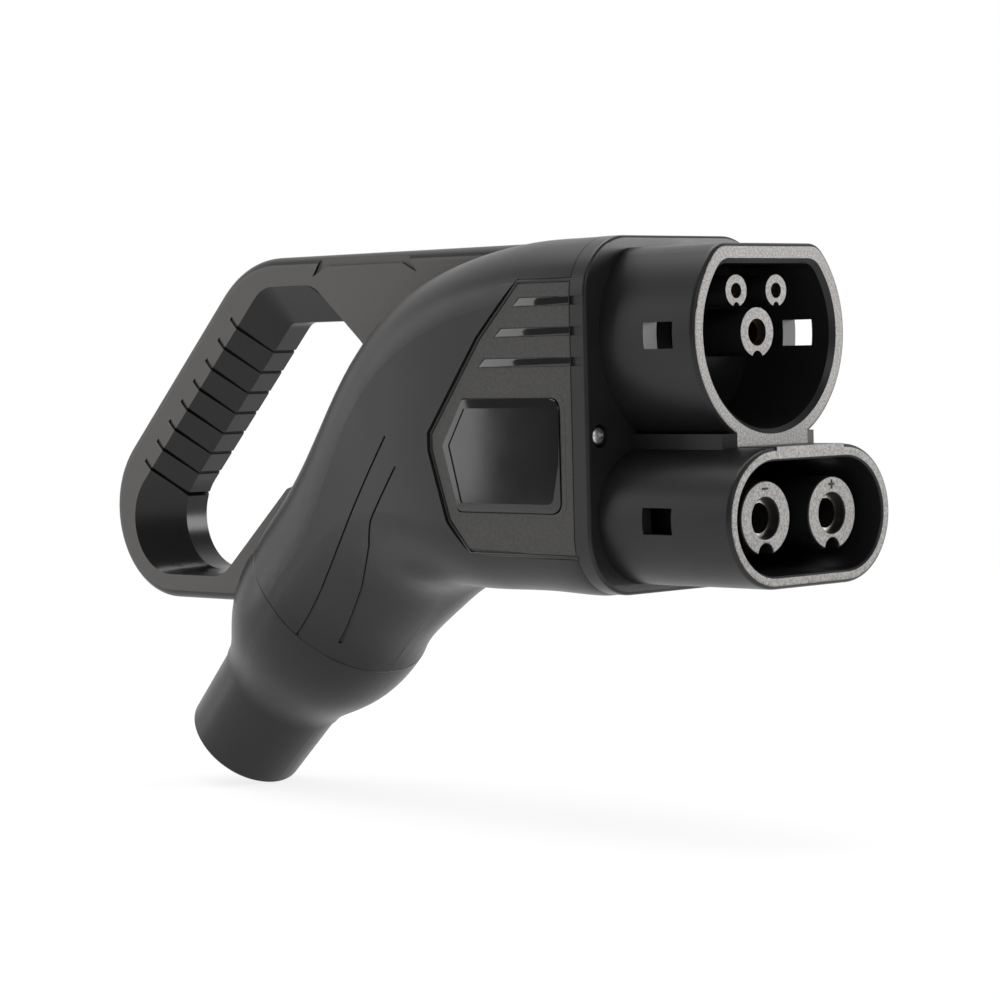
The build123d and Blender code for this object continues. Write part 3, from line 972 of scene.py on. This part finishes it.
    def build_bead(self) -> bpy.types.Object:
        """Build the raised bead that runs in the channel round the field.

        Returns:
            The piece.
        """
        shape = bmesh.new()
        loops = [
            [shape.verts.new(point) for point in self.lift(offset_outline(self.field_outline, -inset), level)]
            for inset, level in self.bead_section
        ]
        count = len(self.field_outline)
        for k, loop in enumerate(loops):
            following = loops[(k + 1) % len(loops)]
            for i in range(count):
                j = (i + 1) % count
                shape.faces.new((loop[i], loop[j], following[j], following[i]))
        return link_mesh(f"field_bead_{self.side}", shape)

    def build_covers(self) -> bpy.types.Object:
        """Build the rings of field round the inset and the bars.

        Returns:
            The piece.
        """
        shape = bmesh.new()
        inset = rounded_outline(self.inset_outline, self.inset_radii)
        wide = rounded_outline(
            offset_outline(self.inset_outline, self.cover), [r + self.cover for r in self.inset_radii]
        )
        self.add_cover(shape, inset, wide)
        for start in self.bar_starts:
            bar = self.bar_outline(start)
            outer = offset_outline(bar, self.cover)
            # In front, the ring ends inside the collar's edge.
            front = self.bar_right + self.cover_front
            outer[1] = (front, outer[1][1])
            outer[2] = (front, outer[2][1])
            self.add_cover(shape, offset_outline(bar, self.gap), outer)
        return link_mesh(f"field_rings_{self.side}", shape)

    def build(self, palette: Palette) -> None:
        """Build and dress the trim of this flank.

        Args:
            palette: The finished materials.
        """
        node = f"inset_{self.side}"
        finish_piece(self.build_panel(), palette, Finish.GLOSS, (node,))
        node = f"bars_{self.side}"
        finish_piece(self.build_bars(), palette, Finish.GLOSS, (node,))
        finish_piece(self.build_covers(), palette, Finish.SHELL)
        finish_piece(self.build_bead(), palette, Finish.COLLAR)


# ---- Small fittings ----


@dataclass
class NoseScrews:
    """Two pan-head screws with a cross recess, sunk in the collar."""

    y: float = 31.0
    z: float = -26.5
    head_r: float = 2.3
    seat_x: float = -36.2
    rim_x: float = -34.3
    crown_x: float = -33.4
    cross_wide: float = 0.75
    cross_long: float = 2.7
    cross_deep: float = 1.3
    cutter_spare: float = 1.0
    seat_share: float = 0.94
    dome_steps: int = 6
    tip_r: float = 0.02
    turns: tuple[float, float] = (18.0, 52.0)
    sides: int = 40

    def head(self, y: float) -> bpy.types.Object:
        """Build one head by turning its profile.

        Args:
            y: Where its axis lies.

        Returns:
            The head, before its recess is cut.
        """
        profile = [(self.seat_x, self.head_r * self.seat_share), (self.rim_x, self.head_r)]
        for k in range(1, self.dome_steps + 1):
            angle = math.radians(90 * k / self.dome_steps)
            rise = (self.crown_x - self.rim_x) * math.sin(angle)
            profile.append((self.rim_x + rise, max(self.head_r * math.cos(angle), self.tip_r)))
        shape = bmesh.new()
        rings = []
        for x, r in profile:
            turn = [2 * math.pi * i / self.sides for i in range(self.sides)]
            rings.append(
                [shape.verts.new((x, y + r * math.cos(a), self.z + r * math.sin(a))) for a in turn]
            )
        for low, high in zip(rings, rings[1:]):
            for i in range(self.sides):
                j = (i + 1) % self.sides
                shape.faces.new((low[i], low[j], high[j], high[i]))
        shape.faces.new(rings[0])
        shape.faces.new(rings[-1])
        return link_mesh("screw_head_left" if y > 0 else "screw_head_right", shape)

    def recess(self, y: float, turn: float) -> bpy.types.Object:
        """Build the cutter for one cross recess.

        Args:
            y: Where the screw's axis lies.
            turn: How far the cross is turned, in degrees.

        Returns:
            The cutter.
        """
        a, b = self.cross_wide / 2, self.cross_long / 2
        cross = [(b, -a), (b, a), (a, a), (a, b), (-a, b), (-a, a)]
        cross += [(-px, -pz) for px, pz in cross]
        cosine, sine = math.cos(math.radians(turn)), math.sin(math.radians(turn))
        start = self.crown_x - self.cross_deep
        outline = [
            Vector((start, y + p * cosine - q * sine, self.z + p * sine + q * cosine)) for p, q in cross
        ]
        shape = bmesh.new()
        add_prism(shape, outline, Vector((self.cross_deep + self.cutter_spare, 0, 0)), 0.0)
        return link_mesh("cross_cutter", shape)

    def build(self, palette: Palette) -> None:
        """Build and dress both screws.

        Args:
            palette: The finished materials.
        """
        for y, turn in zip((-self.y, self.y), self.turns):
            head = self.head(y)
            cut(head, self.recess(y, turn))
            finish_piece(head, palette, Finish.STEEL, ("nose_screws",))


@dataclass
class PoleMarks:
    """Raised plus and minus on the front faces of the two DC tubes."""

    y: float = 13.5
    z: float = -48.4
    face_x: float = 8.5
    rise: float = 0.15
    ring_r: float = 7.7
    arm: float = 2.4
    stroke: float = 0.55
    root: float = 0.1
    bevel: float = 0.04

    def build(self, palette: Palette) -> None:
        """Build and dress both marks.

        Args:
            palette: The finished materials.
        """
        a, b = self.stroke / 2, self.arm / 2
        plus = [(b, -a), (b, a), (a, a), (a, b), (-a, b), (-a, a)]
        plus += [(-px, -pz) for px, pz in plus]
        minus = [(b, -a), (b, a), (-b, a), (-b, -a)]
        for name, y, outline in (("mark_plus", self.y, plus), ("mark_minus", -self.y, minus)):
            shape = bmesh.new()
            start = self.face_x - self.root
            place = [Vector((start, y + p, self.z + self.ring_r + q)) for p, q in outline]
            add_prism(shape, place, Vector((self.rise + self.root, 0, 0)), self.bevel)
            finish_piece(link_mesh(name, shape), palette, Finish.SEAL)


@dataclass
class SeamShadeCord:
    """Thin dark cord that fills a parting line round the body, flush with its surface: painted shade standing
    in for the shadow in the seam.
    """

    name: str
    centre: Vector
    across: Vector
    up: Vector
    half_wide: float
    half_high: float
    corner: float
    radius: float = 0.25
    sunk: float = 0.27
    sides: int = 8
    corner_steps: int = 24

    def path(self) -> list[tuple[Vector, Vector]]:
        """Work out the cord's middle line.

        Returns:
            Each point with the direction that leads out of the body there.
        """
        w, h = self.half_wide - self.sunk, self.half_high - self.sunk
        corners = [(w, h), (-w, h), (-w, -h), (w, -h)]
        outline = rounded_outline(corners, [self.corner - self.sunk] * 4, self.corner_steps)
        points = []
        for i, (p, q) in enumerate(outline):
            before, after = Vector(outline[i - 1]), Vector(outline[(i + 1) % len(outline)])
            along = (after - before).normalized()
            out = self.across * along.y - self.up * along.x
            place = self.centre + self.across * p + self.up * q
            points.append((place, out))
        return points

    def build(self, palette: Palette) -> None:
        """Build and dress the cord.

        Args:
            palette: The finished materials.
        """
        shape = bmesh.new()
        axis = self.across.cross(self.up)
        rings = []
        for place, out in self.path():
            turn = [2 * math.pi * k / self.sides for k in range(self.sides)]
            rings.append(
                [
                    shape.verts.new(place + (out * math.cos(a) + axis * math.sin(a)) * self.radius)
                    for a in turn
                ]
            )
        for i, ring in enumerate(rings):
            following = rings[(i + 1) % len(rings)]
            for k in range(self.sides):
                j = (k + 1) % self.sides
                shape.faces.new((ring[k], ring[j], following[j], following[k]))
        # The dark rubber finish makes the cord painted shade in the seam.
        finish_piece(link_mesh(self.name, shape), palette, Finish.SEAL)


def seam_shade_cords() -> list[SeamShadeCord]:
    """List the cords of painted seam shade: one behind the front collar, one above the rear collar.

    Returns:
        Both cords.
    """
    across = Vector((0, 1, 0))
    # The grip leaves the barrel at 45 degrees.
    square_to_grip = Vector((-math.sqrt(0.5), 0, math.sqrt(0.5)))
    front = SeamShadeCord(
        name="seam_shade_front",
        centre=Vector((-39.0, 0, -21.4)),
        across=across,
        up=Vector((0, 0, 1)),
        half_wide=36.0,
        half_high=48.1,
        corner=16.0,
    )
    rear = SeamShadeCord(
        name="seam_shade_rear",
        centre=Vector((-171.8, 0, -76.4)),
        across=across,
        up=square_to_grip,
        half_wide=28.5,
        half_high=30.3,
        corner=28.2,
    )
    return [front, rear]


# ---- Studio ----


@dataclass(frozen=True)
class Lamp:
    """One soft rectangular lamp: its place and size in metres, and its power in watts."""

    name: str
    place: tuple[float, float, float]
    size: tuple[float, float]
    watts: float
    target: tuple[float, float, float] = (-0.11, 0.0, -0.03)

    def build(self) -> None:
        """Build the lamp and turn it to its target."""
        data = bpy.data.lights.new(self.name, "AREA")
        data.shape = "RECTANGLE"
        data.size, data.size_y = self.size
        data.energy = self.watts
        lamp = bpy.data.objects.new(self.name, data)
        lamp.location = Vector(self.place)
        way = Vector(self.target) - lamp.location
        lamp.rotation_euler = way.to_track_quat("-Z", "Y").to_euler()
        bpy.context.collection.objects.link(lamp)


LAMPS = (
    # Gives the near flank and grip their sheen; the near inset mirrors its edge.
    Lamp("softbox_left", (-2.37, -1.5, 0.55), (1.2, 1.5), 12.0),
    # Lifts the top of the barrel and of the handle.
    Lamp("softbox_top", (-0.45, 0.1, 1.5), (1.6, 1.0), 25.0),
    # Weak: lifts the round cavity and the rims by a few levels.
    Lamp("front_fill", (1.3, -0.75, 0.75), (0.5, 0.5), 3.0),
    # Shines back from the top of the front collar, the rims and the tail of the handle.
    Lamp("strip_far_right", (1.15, 1.25, 0.2), (0.9, 0.9), 24.0, (0.0, 0.0, -0.02)),
)


@dataclass
class Studio:
    """Camera, lamps, floor and world. Angles are in degrees."""

    azimuth: float = 45.27
    elevation: float = 2.65
    roll: float = -1.383
    distance_mm: float = 856.07
    shift_right_mm: float = 71.367
    shift_up_mm: float = 44.369
    sensor_mm: float = 36.0
    lens_mm: float = 116.9028
    floor_half: float = 1.3
    floor_gap: float = 0.0005
    paper: str = "f4f4f3"
    white_share: float = 0.8
    fade_start: float = 0.35
    fade_end: float = 1.1
    backdrop_way: tuple[float, float, float] = (-0.71, 0.70, 0.0)
    backdrop_edge: tuple[float, float] = (-0.05, 0.55)
    room: float = 0.2
    fill: float = 0.75

    def add_camera(self) -> None:
        """Place the camera and make it the scene's own."""
        az, el, roll = (math.radians(v) for v in (self.azimuth, self.elevation, self.roll))
        back = Vector((math.sin(az) * math.cos(el), -math.cos(az) * math.cos(el), math.sin(el)))
        right = Vector((math.cos(az), math.sin(az), 0.0))
        up = back.cross(right)
        turned_right = math.cos(roll) * right + math.sin(roll) * up
        turned_up = -math.sin(roll) * right + math.cos(roll) * up
        axes = Matrix((turned_right, turned_up, back)).transposed()
        offset = Vector((-self.shift_right_mm, -self.shift_up_mm, self.distance_mm)) * MM
        data = bpy.data.cameras.new("camera")
        data.sensor_width = self.sensor_mm
        data.lens = self.lens_mm
        data.clip_start = 0.05
        data.clip_end = 20.0
        camera = bpy.data.objects.new("camera", data)
        camera.matrix_world = Matrix.Translation(axes @ offset) @ axes.to_4x4()
        bpy.context.collection.objects.link(camera)
        bpy.context.scene.camera = camera

    def seen_white(self, tree: bpy.types.NodeTree) -> bpy.types.NodeSocket:
        """Pick out the rays that see the backdrop as white: the lens, reflections and glass.

        Args:
            tree: Node tree of the world or floor.

        Returns:
            1 for those rays, 0 for the others.
        """
        rays = add_node(tree, "LightPath")
        first = add_node(
            tree,
            "Math",
            {"operation": "MAXIMUM"},
            {0: rays.outputs["Is Camera Ray"], 1: rays.outputs["Is Glossy Ray"]},
        ).outputs[0]
        return add_node(
            tree, "Math", {"operation": "MAXIMUM"}, {0: first, 1: rays.outputs["Is Transmission Ray"]}
        ).outputs[0]

    def add_world(self) -> None:
        """Light the world evenly, and show it white to the lens and in reflections."""
        world = bpy.data.worlds.new("studio")
        world.use_nodes = True
        tree = world.node_tree
        tree.nodes.clear()
        # Reflections show the white backdrop behind the plug and the dim room in front of it.
        way = add_node(tree, "TexCoord").outputs["Generated"]
        behind = add_node(
            tree, "VectorMath", {"operation": "DOT_PRODUCT"}, {0: way, 1: self.backdrop_way}
        ).outputs["Value"]
        mirrored = add_node(
            tree,
            "MapRange",
            {"interpolation_type": "SMOOTHSTEP"},
            {
                "Value": behind,
                "From Min": self.backdrop_edge[0],
                "From Max": self.backdrop_edge[1],
                "To Min": self.room,
                "To Max": 1.0,
            },
        ).outputs["Result"]
        rays = add_node(tree, "LightPath")
        through = add_node(
            tree,
            "Math",
            {"operation": "MAXIMUM"},
            {0: rays.outputs["Is Camera Ray"], 1: rays.outputs["Is Transmission Ray"]},
        ).outputs[0]
        glossy = add_node(
            tree, "Mix", inputs={"Factor": rays.outputs["Is Glossy Ray"], 2: self.fill, 3: mirrored}
        ).outputs[0]
        strength = add_node(tree, "Mix", inputs={"Factor": through, 2: glossy, 3: 1.0}).outputs[0]
        shade = add_node(tree, "Background", inputs={"Color": WHITE, "Strength": strength})
        add_node(tree, "OutputWorld", inputs={"Surface": shade.outputs["Background"]})
        bpy.context.scene.world = world

    def add_floor(self, height: float) -> None:
        """Lay the pale floor, which keeps the plug's shadow.

        Args:
            height: Its height, in metres.
        """
        half = self.floor_half
        mesh = bpy.data.meshes.new("floor")
        corners = [(-half, -half, height), (half, -half, height), (half, half, height), (-half, half, height)]
        mesh.from_pydata(corners, [], [(0, 1, 2, 3)])
        floor = bpy.data.objects.new("floor", mesh)
        bpy.context.collection.objects.link(floor)
        floor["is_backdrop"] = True
        material = bpy.data.materials.new("Paper sweep, matt white")
        material.use_nodes = True
        tree = material.node_tree
        tree.nodes.clear()
        paper = add_node(tree, "BsdfDiffuse", inputs={"Color": linear(self.paper), "Roughness": 0.5})
        glow = add_node(tree, "Emission", inputs={"Color": WHITE, "Strength": 1.0})
        # The sweep runs out into the white backdrop a metre away from the plug.
        away = add_node(
            tree,
            "VectorMath",
            {"operation": "LENGTH"},
            {0: add_node(tree, "TexCoord").outputs["Object"]},
        ).outputs["Value"]
        whiter = add_node(
            tree,
            "MapRange",
            inputs={
                "Value": away,
                "From Min": self.fade_start,
                "From Max": self.fade_end,
                "To Min": self.white_share,
                "To Max": 1.0,
            },
        ).outputs["Result"]
        share = add_node(
            tree, "Math", {"operation": "MULTIPLY"}, {0: self.seen_white(tree), 1: whiter}
        ).outputs[0]
        mix = add_node(
            tree,
            "MixShader",
            inputs={0: share, 1: paper.outputs["BSDF"], 2: glow.outputs["Emission"]},
        )
        add_node(tree, "OutputMaterial", inputs={"Surface": mix.outputs["Shader"]})
        mesh.materials.append(material)

    def build(self, lowest: float) -> None:
        """Set up the whole studio.

        Args:
            lowest: Height of the plug's lowest point, in metres.
        """
        self.add_camera()
        for lamp in LAMPS:
            lamp.build()
        self.add_world()
        self.add_floor(lowest - self.floor_gap)


def main() -> None:
    """Build the finishes, the trim, the fittings and the studio in order."""
    logging.basicConfig(level=logging.INFO, format="%(message)s")
    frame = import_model()
    cad_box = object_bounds()
    bpy.context.scene.view_settings.view_transform = "Standard"
    palette = Palette()
    palette.dress_nodes(frame)
    for side, sign in (("right", -1.0), ("left", 1.0)):
        SideTrim(side, sign).build(palette)
    NoseScrews().build(palette)
    PoleMarks().build(palette)
    # Dark cords in the parting lines: painted shade in the seams.
    for cord in seam_shade_cords():
        cord.build(palette)
    Studio().build(float(cad_box[0][2]))
    LOG.info("studio ready")


if __name__ == "__main__":
    main()
